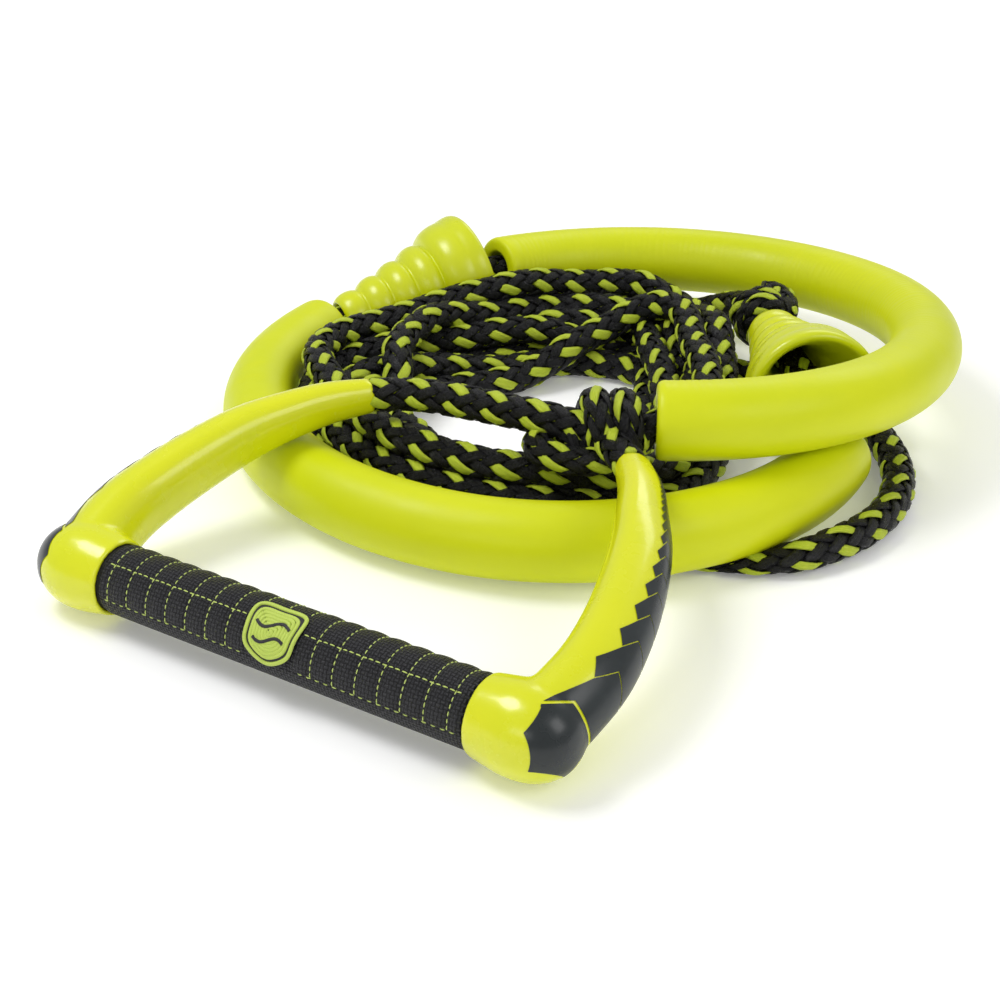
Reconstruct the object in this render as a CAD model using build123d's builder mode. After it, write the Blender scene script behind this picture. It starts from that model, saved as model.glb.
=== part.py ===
from build123d import *
from math import cos, sin, tan, radians, pi
import os

# Tow rope handle: a moulded handle, two foam floats and two foam cones strung on one
# braided rope, the rest of the rope laid in a loose coil.  Millimetres.  X runs along the
# grip, Y from the grip towards the coil, Z up, and everything rests on Z = 0.

# ---------------------------------------------------------------- driving dimensions
rope_d = 17.0            # braided rope
core_d = 8.0             # thin line inside the handle

bar_mid = Vector(32, -232, 20)
bar_d, bar_wall, bar_half = 25.4, 2.1, 118.0
grip_half = 96.0
foam_d, cover_d = 29.6, 32.4
bushing_d, bushing_length = 30.4, 22.0

boss_x = 121.0           # boss centre, from the middle of the bar
boss_r, collar_r, boss_end_x = 20.0, 17.4, 140.0
# arm centre line from the middle of the bar: across, along, height above the floor, radius
arm_stations = [
    (121.0, 0, 20.0, 17.5),
    (125.0, 30, 29.5, 16.8),
    (122.5, 54, 36.0, 16.0),
    (116.5, 78, 42.5, 15.2),
    (108.5, 100, 48.5, 14.0),
    (98.5, 119, 52.5, 12.4),
    (87.5, 138, 55.0, 10.8),
    (73.5, 156, 56.0, 8.8),
]
tip_direction = Vector(-0.80, 0.60, 0.04)
decal_thick = 0.4

float_r, float_bore_r = 19.0, 10.5
float_edge = 2.0
upper_centre = Vector(25, 89, 50)
upper_normal = Vector(-0.042, 0.072, 1)
upper_radius, upper_start, upper_end = 146.0, 299.5, 518.5
lower_slope = 0.006      # the lower float's right end lies on the rope
lower_height = 19.3      # height of its axis at its left end
lower_centre = Vector(1.5, 53, 0)
lower_radius_left, lower_radius_right = 173.0, 147.5
lower_start, lower_join, lower_end = 181.0, 280.0, 370.0
line_inset = 3.5         # degrees that the bent line reaches inside the lower float

cone_flange_r, cone_neck_r, cone_bore_r, cone_mouth_r = 35.0, 14.0, 10.2, 30.0
cone_gap = 6.5           # from the narrow end to the bend in the rope
upper_flange = Vector(-128, 140.5, 38)
lower_flange = Vector(125, 84, 36)
lower_neck = Vector(66, 156, 35)

bridle_knot_at = Vector(70, -54, 59)
bridle_knot_long, bridle_knot_r = 27.0, 20.5
stop_knot_long, stop_knot_r = 21.0, 19.0

flat_wide, flat_thick = 24.0, 6.8    # rope where the lower float presses on it
groove_wide, groove_top = 50.0, 9.0

coil_height, coil_round = 37.5, 12.0


# ---------------------------------------------------------------- shared geometry
def ring_plane(centre, normal):
    """Plane of a float's arc, its X direction level with the row's X."""
    return Plane(origin=centre, x_dir=Vector(0, 1, 0).cross(normal), z_dir=normal)


def ring_point(ring, radius, angle):
    """Cross-section plane of the arc at an angle in degrees, facing along the arc."""
    turn = radians(angle)
    out = ring.x_dir * cos(turn) + ring.y_dir * sin(turn)
    along = ring.y_dir * cos(turn) - ring.x_dir * sin(turn)
    return Plane(origin=ring.origin + out * radius, x_dir=out, z_dir=along)


def corner_radii(name, points):
    """Largest tangent arc at each corner of a route: 0.45 of its shorter run."""
    radii = []
    for before, here, after in zip(points, points[1:], points[2:]):
        turn = radians((here - before).get_angle(after - here))
        run = min((here - before).length, (after - here).length)
        radii.append(0.45 * run / tan(turn / 2))
    print(name, "corner radii:", [round(radius) for radius in radii])
    return radii


def rope_along(name, points, diameter=rope_d):
    """Round rope swept along straight runs joined by tangent arcs."""
    with BuildLine() as route:
        FilletPolyline(*points, radius=corner_radii(name, points))
    with BuildSketch(Plane(origin=route.line @ 0, z_dir=route.line % 0)) as section:
        Circle(diameter / 2)
    sweep(section.sketch, path=route.line)
    print(name, "length", round(sum(edge.length for edge in route.edges()), 1))


def float_arc(ring, radius, start, end):
    """One stretch of hollow foam float, turned about the centre of its arc."""
    with BuildSketch(ring_point(ring, radius, start)) as section:
        Circle(float_r)
        Circle(float_bore_r, mode=Mode.SUBTRACT)
    revolve(section.sketch, axis=Axis(ring.origin, ring.z_dir), revolution_arc=end - start)


def rope_arc(ring, radius, start, end):
    """Rope inside a float, on the float's own arc."""
    with BuildSketch(ring_point(ring, radius, start)) as section:
        Circle(rope_d / 2)
    revolve(section.sketch, axis=Axis(ring.origin, ring.z_dir), revolution_arc=end - start)


def knot_body(centre, axis, half_length, radius):
    """Closed outer shape of a knot: an ellipse turned about its long axis."""
    side = Vector(0, 0, 1).cross(axis).normalized()
    with BuildSketch(Plane(origin=centre, x_dir=axis, z_dir=side)) as section:
        Ellipse(half_length, radius)
        with Locations((0, -radius)):
            Rectangle(2 * half_length, 2 * radius, mode=Mode.SUBTRACT)
    revolve(section.sketch, axis=Axis(centre, axis), revolution_arc=360)


def cone_body(neck, flange):
    """Ribbed foam cone, open like a bell at the flange, turned about the rope."""
    axis = (flange - neck).normalized()
    side = Vector(0, 0, 1).cross(axis).normalized()
    long = (flange - neck).length
    with BuildSketch(Plane(origin=neck, x_dir=side, z_dir=side.cross(axis))) as section:
        with BuildLine():
            Line((cone_bore_r, 0), (cone_neck_r - 1.5, 0))
            ribs = [(0.0, 12.5), (0.17, 13.2), (0.34, 16.4), (0.51, 20.0), (0.68, 24.0)]
            for (low, low_r), (high, high_r) in zip(ribs, ribs[1:]):
                bulge = max(low_r, high_r) + 1.9
                ThreePointArc(
                    (low_r, low * long), (bulge, (low + high) / 2 * long), (high_r, high * long)
                )
            ThreePointArc((24.0, 0.68 * long), (30.8, 0.77 * long), (34.0, 0.89 * long))
            ThreePointArc((34.0, 0.89 * long), (cone_flange_r, 0.95 * long), (33.0, long))
            Line((33.0, long), (cone_mouth_r, long))
            ThreePointArc((cone_mouth_r, long), (20.6, long - 20), (14.0, long - 38))
            Line((14.0, long - 38), (cone_bore_r, long - 58))
            Line((cone_bore_r, long - 58), (cone_bore_r, 0))
        make_face()
    revolve(section.sketch, axis=Axis(neck, axis), revolution_arc=360)


# ---------------------------------------------------------------- handle
def on_handle(across, along, height):
    """Point of the handle, given across and along from the middle of the bar."""
    return Vector(bar_mid.X + across, bar_mid.Y + along, height)


def bar_ring(outer_d, inner_d, start, end):
    """Tube on the bar's axis between two places across the handle."""
    with BuildSketch(Plane(origin=bar_mid + Vector(start, 0, 0), z_dir=(1, 0, 0))) as section:
        Circle(outer_d / 2)
        Circle(inner_d / 2, mode=Mode.SUBTRACT)
    extrude(section.sketch, amount=end - start)


def arm_loft(extra=0.0):
    """Arm of round sections, square to its curved centre line."""
    last = len(arm_stations) - 1
    sections = []
    for i, (across, along, height, radius) in enumerate(arm_stations):
        before = on_handle(*arm_stations[max(i - 1, 0)][:3])
        after = on_handle(*arm_stations[min(i + 1, last)][:3])
        here = on_handle(across, along, height)
        square = tip_direction if i == last else after - before
        with BuildSketch(Plane(origin=here, x_dir=(0, 0, 1), z_dir=square)) as section:
            Circle(radius + extra)
        sections.append(section.sketch.face())
    loft(sections)


def boss_body(extra=0.0):
    """Rounded boss and collar around the bar's end."""
    with BuildSketch(Plane(origin=bar_mid, x_dir=(1, 0, 0), z_dir=(0, -1, 0))) as section:
        with BuildLine():
            Line((grip_half, 0), (grip_half, collar_r + extra))
            ThreePointArc(
                (grip_half, collar_r + extra), (109, 18.6 + extra), (boss_x, boss_r + extra)
            )
            ThreePointArc(
                (boss_x, boss_r + extra), (135, 14.2 + extra), (boss_end_x + extra, 0)
            )
            Line((boss_end_x + extra, 0), (grip_half, 0))
        make_face()
    revolve(section.sketch, axis=Axis(bar_mid, (1, 0, 0)), revolution_arc=360)


half_line = [
    on_handle(across, along, height)
    for across, along, height in [
        (104, 0, 20), (116, 6, 21.5), (122.5, 19, 25.5), (124.2, 35, 31),
        (122.5, 54, 36), (116.5, 78, 42.5), (108.5, 100, 48.5), (98.5, 119, 52.5),
        (87.5, 138, 55), (73.5, 156, 56),
    ]
]
mid_plane = Plane(origin=bar_mid, z_dir=(1, 0, 0))
mirrored_line = [Vector(2 * bar_mid.X - p.X, p.Y, p.Z) for p in reversed(half_line)]
right_tip, left_tip = half_line[-1], mirrored_line[0]

with BuildPart() as handle_line:
    rope_along("handle_line", mirrored_line + half_line, core_d)
handle_line.part.label = "handle_line"

with BuildPart() as bar_tube:
    bar_ring(bar_d, bar_d - 2 * bar_wall, -bar_half, bar_half)
bar_tube.part.label = "bar_tube"

with BuildPart() as grip_foam:
    bar_ring(foam_d, bar_d, -grip_half, grip_half)
grip_foam.part.label = "grip_foam"

with BuildPart() as grip_cover:
    bar_ring(cover_d, foam_d, -grip_half, grip_half)
grip_cover.part.label = "grip_cover"

badge_side, badge_thick, badge_tilt = 26.0, 0.8, 55.0
with BuildPart() as grip_badge:
    bar_ring(cover_d + 2 * badge_thick, cover_d, -badge_side / 2, badge_side / 2)
    facing = Vector(0, -cos(radians(badge_tilt)), sin(radians(badge_tilt)))
    with BuildSketch(Plane(origin=bar_mid, x_dir=(1, 0, 0), z_dir=facing)):
        RectangleRounded(badge_side - 0.6, badge_side - 2, 5)
    extrude(amount=cover_d, mode=Mode.INTERSECT)
grip_badge.part.label = "grip_badge"

with BuildPart() as end_bushing_right:
    bar_ring(bushing_d, bar_d, grip_half, grip_half + bushing_length)
end_bushing_right.part.label = "end_bushing_right"

with BuildPart() as end_bushing_left:
    mirror(end_bushing_right.part, about=mid_plane)
end_bushing_left.part.label = "end_bushing_left"

with BuildPart() as arm_right:
    arm_loft()
    boss_body()
    with BuildSketch(Plane(origin=bar_mid + Vector(grip_half, 0, 0), z_dir=(1, 0, 0))):
        Circle(bushing_d / 2)
    extrude(amount=bushing_length, mode=Mode.SUBTRACT)
    add(handle_line.part, mode=Mode.SUBTRACT)
arm_right.part.label = "arm_right"

with BuildPart() as arm_left:
    mirror(arm_right.part, about=mid_plane)
arm_left.part.label = "arm_left"


def arm_height(along):
    """Height of the arm's centre line, and its radius, at a distance from the bar."""
    for low, high in zip(arm_stations, arm_stations[1:]):
        if along <= high[1]:
            part = (along - low[1]) / (high[1] - low[1])
            return low[2] + part * (high[2] - low[2]), low[3] + part * (high[3] - low[3])
    return arm_stations[-1][2:]


decal_steps, decal_start, decal_step = 9, 22.0, 12.5
with BuildPart() as arm_decal_right:
    arm_loft(decal_thick)
    upper_edge, lower_edge = [], []
    for i in range(decal_steps):
        along = decal_start + i * decal_step
        height, radius = arm_height(along)
        half = 0.62 * radius * (1 - i / decal_steps)
        tooth = 0.55 * decal_step
        upper_edge += [(along, height + half + 0.5), (along + tooth, height + 0.72 * half)]
        lower_edge += [(along, height - half - 0.5), (along + tooth, height - 0.72 * half)]
    with BuildSketch(Plane(origin=(bar_mid.X, bar_mid.Y, 0), x_dir=(0, 1, 0), z_dir=(1, 0, 0))):
        with BuildLine():
            Polyline(*upper_edge, *reversed(lower_edge), close=True)
        make_face()
    extrude(amount=boss_end_x + 10, mode=Mode.INTERSECT)
    add(arm_right.part, mode=Mode.SUBTRACT)
    add(handle_line.part, mode=Mode.SUBTRACT)
    both_sides = arm_decal_right.solids().sort_by(SortBy.VOLUME)[-2:]
    add(both_sides.sort_by(Axis.X)[-1], mode=Mode.REPLACE)
arm_decal_right.part.label = "arm_decal_right"

with BuildPart() as arm_decal_left:
    mirror(arm_decal_right.part, about=mid_plane)
arm_decal_left.part.label = "arm_decal_left"

# ---------------------------------------------------------------- bridle
upper_ring = ring_plane(upper_centre, upper_normal)
front_end = ring_point(upper_ring, upper_radius, upper_start)

with BuildPart() as bridle_knot:
    knot_body(bridle_knot_at, front_end.z_dir, bridle_knot_long, bridle_knot_r)
bridle_knot.part.label = "bridle_knot"

left_leg_route = [
    left_tip, left_tip + Vector(11.2, 8.4, 0.5), Vector(-10, -62.5, 57.4),
    Vector(16, -61, 58.2), Vector(46, -60, 59),
]
right_leg_route = [right_tip, right_tip + Vector(-9.6, 7.2, 0.5), Vector(84, -60, 58)]
with BuildPart() as bridle_leg_left:
    rope_along("bridle_leg_left", left_leg_route)
    for neighbour in (bridle_knot, arm_left, handle_line):
        add(neighbour.part, mode=Mode.SUBTRACT)
bridle_leg_left.part.label = "bridle_leg_left"

with BuildPart() as bridle_leg_right:
    rope_along("bridle_leg_right", right_leg_route)
    for neighbour in (bridle_knot, arm_right, handle_line):
        add(neighbour.part, mode=Mode.SUBTRACT)
bridle_leg_right.part.label = "bridle_leg_right"

# ---------------------------------------------------------------- floats
with BuildPart() as float_upper:
    float_arc(upper_ring, upper_radius, upper_start, upper_end)
    rims = float_upper.edges().filter_by(lambda edge: edge.length < 2.1 * pi * float_r)
    fillet(rims.group_by(SortBy.LENGTH)[-1], float_edge)
float_upper.part.label = "float_upper"

with BuildPart() as line_in_upper_float:
    rope_arc(upper_ring, upper_radius, upper_start - 4, upper_end)
    add(bridle_knot.part, mode=Mode.SUBTRACT)
line_in_upper_float.part.label = "line_in_upper_float"

lower_left_x = lower_centre.X - lower_radius_left
lower_normal = Vector(-lower_slope, 0, 1)
left_height = lower_height + lower_slope * (lower_centre.X - lower_left_x)
left_ring = ring_plane(Vector(lower_centre.X, lower_centre.Y, left_height), lower_normal)
join = ring_point(left_ring, lower_radius_left - lower_radius_right, lower_join)
right_ring = ring_plane(join.origin, lower_normal)

crossing = [Vector(80, -67, 0), Vector(162, -49, 0)]
across_float = (crossing[1] - crossing[0]).normalized()

with BuildPart() as float_lower:
    float_arc(left_ring, lower_radius_left, lower_start, lower_join)
    float_arc(right_ring, lower_radius_right, lower_join, lower_end)
    with BuildSketch(Plane(origin=crossing[0], x_dir=(0, 0, 1), z_dir=across_float)):
        RectangleRounded(2 * groove_top, groove_wide, 4)
    extrude(amount=(crossing[1] - crossing[0]).length, mode=Mode.SUBTRACT)
float_lower.part.label = "float_lower"

with BuildPart() as line_in_lower_float:
    rope_arc(left_ring, lower_radius_left, lower_start + line_inset, lower_join)
    rope_arc(right_ring, lower_radius_right, lower_join, lower_end - line_inset)
line_in_lower_float.part.label = "line_in_lower_float"

# ---------------------------------------------------------------- cones and their rope
left_inside = ring_point(left_ring, lower_radius_left, lower_start + line_inset)
upper_bend = left_inside.origin - left_inside.z_dir * 18
upper_axis = (upper_bend - upper_flange).normalized()
upper_neck = upper_bend - upper_axis * cone_gap
lower_axis = (lower_neck - lower_flange).normalized()

with BuildPart() as cone_upper:
    cone_body(upper_neck, upper_flange)
cone_upper.part.label = "cone_upper"

with BuildPart() as cone_lower:
    cone_body(lower_neck, lower_flange)
cone_lower.part.label = "cone_lower"

back_end = ring_point(upper_ring, upper_radius, upper_end)
upper_cone_route = [
    back_end.origin,
    back_end.origin + back_end.z_dir * 16,
    upper_flange + upper_axis * 47,
    upper_bend,
    left_inside.origin,
]
with BuildPart() as line_upper_cone:
    rope_along("line_upper_cone", upper_cone_route)
line_upper_cone.part.label = "line_upper_cone"

stop_knot_at = lower_neck + lower_axis * (stop_knot_long + 3)
with BuildPart() as stop_knot:
    knot_body(stop_knot_at, lower_axis, stop_knot_long, stop_knot_r)
stop_knot.part.label = "stop_knot"

right_inside = ring_point(right_ring, lower_radius_right, lower_end - line_inset)
lower_cone_route = [
    right_inside.origin,
    right_inside.origin + right_inside.z_dir * 20,
    Vector(139, 83, 29),
    lower_flange + lower_axis * 28,
    lower_neck + lower_axis * 8,
]
with BuildPart() as line_lower_cone:
    rope_along("line_lower_cone", lower_cone_route)
    add(stop_knot.part, mode=Mode.SUBTRACT)
line_lower_cone.part.label = "line_lower_cone"

# ---------------------------------------------------------------- loose coil
coil_outline = [
    (-145, 22), (-130, -20), (-98, -54), (-48, -80), (12, -88), (72, -76), (104, -44),
    (112, 8), (92, 58), (60, 112), (38, 148), (14, 192), (-40, 192), (-78, 168),
    (-92, 112), (-128, 62),
]
coil_hole_at, coil_hole_long, coil_hole_wide = (-36, -12), 58.0, 26.0
with BuildPart() as coil:
    with BuildSketch():
        with BuildLine():
            FilletPolyline(*coil_outline, radius=16, close=True)
        make_face()
        with Locations(coil_hole_at):
            Ellipse(coil_hole_long, coil_hole_wide, mode=Mode.SUBTRACT)
    extrude(amount=coil_height)
    fillet(coil.faces().sort_by(Axis.Z)[-1].outer_wire().edges(), coil_round)
coil.part.label = "coil"

# ---------------------------------------------------------------- rope round the outside
# the rope runs out under the lower float, pressed flat there, then round the right side
pressed_rope = [
    (74, -70, rope_d, rope_d), (98, -64, flat_wide, flat_thick + 1),
    (124, -58, flat_wide, flat_thick), (149, -50, flat_wide, flat_thick),
    (166, -37, 20.5, 12.5), (179, -15, rope_d, rope_d),
]
rope_z = rope_d / 2
outer_loop_route = [
    Vector(179, -15, rope_z), Vector(188, 14, rope_z), Vector(188, 46, rope_z),
    Vector(177, 79, rope_z), Vector(154, 111, rope_z), Vector(122, 138, rope_z),
    Vector(86, 152, rope_z), Vector(52, 147, rope_z), Vector(24, 130, rope_z),
]
with BuildPart() as outer_loop:
    pressed_sections = []
    places = [Vector(x, y, 0) for x, y, wide, thick in pressed_rope]
    ahead = places[1:] + [places[-1] + outer_loop_route[1] - outer_loop_route[0]]
    behind = places[:1] + places[:-2] + places[-1:]
    for (x, y, wide, thick), before, after in zip(pressed_rope, behind, ahead):
        square = Plane(origin=(x, y, thick / 2), x_dir=(0, 0, 1), z_dir=after - before)
        with BuildSketch(square) as section:
            Ellipse(thick / 2, wide / 2)
        pressed_sections.append(section.sketch.face())
    loft(pressed_sections)
    rope_along("outer_loop", outer_loop_route)
    add(coil.part, mode=Mode.SUBTRACT)
outer_loop.part.label = "outer_loop"

tail_route = [
    stop_knot_at, stop_knot_at + lower_axis * 27 - Vector(0, 0, 2), Vector(12, 206, 22),
    Vector(-10, 196, 13), Vector(-18, 170, 10),
]
with BuildPart() as line_tail:
    rope_along("line_tail", tail_route)
    add(stop_knot.part, mode=Mode.SUBTRACT)
    add(coil.part, mode=Mode.SUBTRACT)
line_tail.part.label = "line_tail"

# ---------------------------------------------------------------- tow end, behind the float
eye_long, eye_wide, splice_long, splice_r = 70.0, 38.0, 44.0, 10.2
splice_at = Vector(-84, 237, splice_r)
eye_along = Vector(-0.85, -0.527, 0)
eye_side = Vector(0, 0, 1).cross(eye_along)
tow_route = [
    Vector(-38, 168, rope_z), Vector(-45, 194, rope_z), Vector(-58, 220, rope_z),
    splice_at, splice_at + eye_along * 26,
]
with BuildPart() as tow_line:
    rope_along("tow_line", tow_route)
    add(coil.part, mode=Mode.SUBTRACT)
tow_line.part.label = "tow_line"

eye_near = tow_route[-1] + eye_along * (rope_z + 3)
eye_outline = [
    eye_near + eye_along * (eye_long * along) + eye_side * (eye_wide / 2 * across)
    for along, across in [(0, 0.55), (0.25, 1), (0.8, 1), (1, 0.5),
                          (1, -0.5), (0.8, -1), (0.25, -1), (0, -0.55)]
]
with BuildPart() as tow_eye:
    with BuildLine() as eye_route:
        FilletPolyline(*eye_outline, radius=9, close=True)
    with BuildSketch(Plane(origin=eye_route.line @ 0, z_dir=eye_route.line % 0)):
        Circle(rope_d / 2)
    sweep(path=eye_route.line)
tow_eye.part.label = "tow_eye"

with BuildPart() as eye_splice:
    splice_start = splice_at + eye_along * 2
    with BuildSketch(Plane(origin=splice_start, z_dir=eye_along)):
        Circle(splice_r)
    extrude(amount=splice_long - 10)
    chamfer(eye_splice.edges().filter_by(GeomType.CIRCLE), 1)
    add(tow_line.part, mode=Mode.SUBTRACT)
    add(tow_eye.part, mode=Mode.SUBTRACT)
eye_splice.part.label = "eye_splice"

os.makedirs("parts", exist_ok=True)
for piece in [
    handle_line, bar_tube, grip_foam, grip_cover, grip_badge, end_bushing_right,
    end_bushing_left, arm_right, arm_left, arm_decal_right, arm_decal_left, bridle_knot,
    bridle_leg_left, bridle_leg_right, float_upper, line_in_upper_float, float_lower,
    line_in_lower_float, cone_upper, cone_lower, line_upper_cone, line_lower_cone,
    stop_knot, coil, outer_loop, line_tail, tow_line, tow_eye, eye_splice,
]:
    export_step(piece.part, f"parts/{piece.part.label}.step")
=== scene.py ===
"""Tow rope handle: the looks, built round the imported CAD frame.

Points are in millimetres, and MM turns them into metres.  X runs along the grip, +Y from
the grip to the coil, and Z is up.
"""
import math

import bpy
import bmesh
import numpy as np
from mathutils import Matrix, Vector
from mathutils.bvhtree import BVHTree
from mathutils.kdtree import KDTree


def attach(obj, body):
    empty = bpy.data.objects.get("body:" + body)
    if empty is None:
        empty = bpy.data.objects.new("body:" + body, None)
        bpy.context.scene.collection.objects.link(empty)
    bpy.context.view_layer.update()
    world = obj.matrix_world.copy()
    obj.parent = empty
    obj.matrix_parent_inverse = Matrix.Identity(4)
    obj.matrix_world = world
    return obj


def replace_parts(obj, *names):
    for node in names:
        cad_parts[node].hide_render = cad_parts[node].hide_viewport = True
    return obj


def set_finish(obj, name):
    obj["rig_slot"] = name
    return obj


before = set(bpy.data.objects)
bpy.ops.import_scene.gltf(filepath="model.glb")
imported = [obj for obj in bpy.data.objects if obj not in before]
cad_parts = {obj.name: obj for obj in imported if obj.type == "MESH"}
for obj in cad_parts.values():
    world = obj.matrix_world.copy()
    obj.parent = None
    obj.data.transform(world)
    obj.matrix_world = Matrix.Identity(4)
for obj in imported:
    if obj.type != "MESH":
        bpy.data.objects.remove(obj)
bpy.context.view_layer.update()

MM = 0.001
ROOT = "handle_and_rope"
UP = np.array([0.0, 0.0, 1.0])
FULL_TURN = 2 * math.pi
ROPE_D = 17.0
BAR_MID = np.array([32.0, -232.0, 20.0])
COVER_R = 16.2


# ---- small geometry helpers
def unit(v):
    v = np.asarray(v, float)
    return v / np.linalg.norm(v, axis=-1, keepdims=True)


def full_circle(count):
    return np.linspace(0, FULL_TURN, count, endpoint=False)


def curve_runs(fours, per_run):
    """Catmull-Rom runs, one for each four neighbouring points."""
    t = np.linspace(0, 1, per_run, endpoint=False)[:, None]
    return [0.5 * (2 * b + (c - a) * t + (2 * a - 5 * b + 4 * c - d) * t ** 2
                   + (3 * b - a - 3 * c + d) * t ** 3) for a, b, c, d in fours]


def smooth_through(points, per_run=14):
    """Smooth open line through every point."""
    p = np.asarray(points, float)
    p = np.vstack([2 * p[0] - p[1], p, 2 * p[-1] - p[-2]])
    return np.vstack(curve_runs(zip(p, p[1:], p[2:], p[3:]), per_run) + [p[-2][None]])


def smooth_closed(points, per_run=8):
    """Smooth closed outline through every point."""
    p = np.array(points, float)
    return np.vstack(curve_runs(zip(*[np.roll(p, -k, axis=0) for k in (-1, 0, 1, 2)]), per_run))


def along_line(line, run, at):
    """Points of a line at given distances, where run holds the distance of its own points."""
    return np.stack([np.interp(at, run, line[:, i]) for i in range(3)], -1)


def resample(path, step):
    """The same line with points a constant distance apart, and their distances."""
    run = np.r_[0, np.cumsum(np.linalg.norm(np.diff(path, axis=0), axis=1))]
    count = max(3, int(round(run[-1] / step)) + 1)
    at = np.linspace(0, run[-1], count)
    return along_line(path, run, at), at


def transport(path):
    """Side and over directions carried along a line without twist."""
    tangent = unit(np.gradient(path, axis=0))
    side = np.zeros_like(path)
    start = np.cross(UP, tangent[0])
    side[0] = unit(start if np.linalg.norm(start) > 1e-3 else np.array([1.0, 0, 0]))
    for i in range(1, len(path)):
        s = side[i - 1] - tangent[i] * side[i - 1].dot(tangent[i])
        side[i] = s / np.linalg.norm(s)
    return side, np.cross(tangent, side)


def grid_faces(rows, columns, wrap=True, start=0):
    """Quads of a grid of rows by columns, closed across the columns when wrap is set."""
    i, j = np.meshgrid(np.arange(rows - 1), np.arange(columns if wrap else columns - 1),
                       indexing="ij")
    k = (j + 1) % columns
    a, b = i * columns + j, i * columns + k
    return start + np.stack([a, b, b + columns, a + columns], -1).reshape(-1, 4)


def gather(parts):
    """One list of points and one of faces, out of several."""
    verts, faces = [], []
    for part_verts, part_faces in parts:
        faces += [[k + len(verts) for k in face] for face in part_faces]
        verts += list(part_verts)
    return verts, faces


def lathe(profile, origin, axis, around, loop=False):
    """Profile (radius, along) turned about an axis; loop joins its end to its start."""
    axis = unit(axis)
    side = unit(np.cross(UP, axis))
    other = np.cross(axis, side)
    turn = full_circle(around)
    ring = np.cos(turn)[:, None] * side + np.sin(turn)[:, None] * other
    radius, along = np.asarray(profile, float).T
    verts = (np.asarray(origin) + along[:, None, None] * axis
             + radius[:, None, None] * ring[None])
    faces = grid_faces(len(profile), around)
    if loop:
        here, after = np.arange(around), (np.arange(around) + 1) % around
        last = (len(profile) - 1) * around
        faces = np.vstack([faces, np.stack([last + here, last + after, after, here], -1)])
    return verts.reshape(-1, 3), faces


def closed_tube(path, radii, around, shape=None):
    """Tube along a path, its ends closed by fans; shape may swell a ring by angle."""
    side, over = transport(path)
    turn = full_circle(around)
    swell = np.ones(around) if shape is None else shape(turn)
    ring = (np.cos(turn) * swell)[None, :, None] * side[:, None] \
        + (np.sin(turn) * swell)[None, :, None] * over[:, None]
    radii = np.broadcast_to(radii, len(path))
    verts = (path[:, None] + ring * radii[:, None, None]).reshape(-1, 3)
    faces = list(map(tuple, grid_faces(len(path), around)))
    count = len(verts)
    for start, tip, flip in ((0, count, True), (count - around, count + 1, False)):
        for j in range(around):
            a, b = start + j, start + (j + 1) % around
            faces.append((b, a, tip) if flip else (a, b, tip))
    return np.vstack([verts, verts[:around].mean(0), verts[-around:].mean(0)]), faces


def new_mesh(name, verts, faces, materials, index=None, slot=None, body=ROOT):
    """Smooth mesh object from millimetre points, riding on a body."""
    mesh = bpy.data.meshes.new(name)
    mesh.from_pydata((np.asarray(verts) * MM).tolist(), [], [list(map(int, f)) for f in faces])
    for material in materials:
        mesh.materials.append(material)
    if index is not None:
        mesh.polygons.foreach_set("material_index", np.asarray(index, np.int32))
    mesh.polygons.foreach_set("use_smooth", np.ones(len(mesh.polygons), bool))
    mesh.update()
    obj = bpy.data.objects.new(name, mesh)
    bpy.context.scene.collection.objects.link(obj)
    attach(obj, body)
    if slot:
        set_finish(obj, slot)
    return obj


def face_outward(obj, weld=0.0):
    """Point every face outward, after welding points closer than weld."""
    bm = bmesh.new()
    bm.from_mesh(obj.data)
    if weld:
        bmesh.ops.remove_doubles(bm, verts=bm.verts, dist=weld)
    bmesh.ops.recalc_face_normals(bm, faces=bm.faces)
    bm.to_mesh(obj.data)
    bm.free()


def apply_modifiers(obj):
    """Freeze an object's modifiers into its mesh, shaded smooth."""
    depsgraph = bpy.context.evaluated_depsgraph_get()
    done = bpy.data.meshes.new_from_object(obj.evaluated_get(depsgraph))
    obj.modifiers.clear()
    old, obj.data = obj.data, done
    bpy.data.meshes.remove(old)
    done.polygons.foreach_set("use_smooth", np.ones(len(done.polygons), bool))


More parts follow.
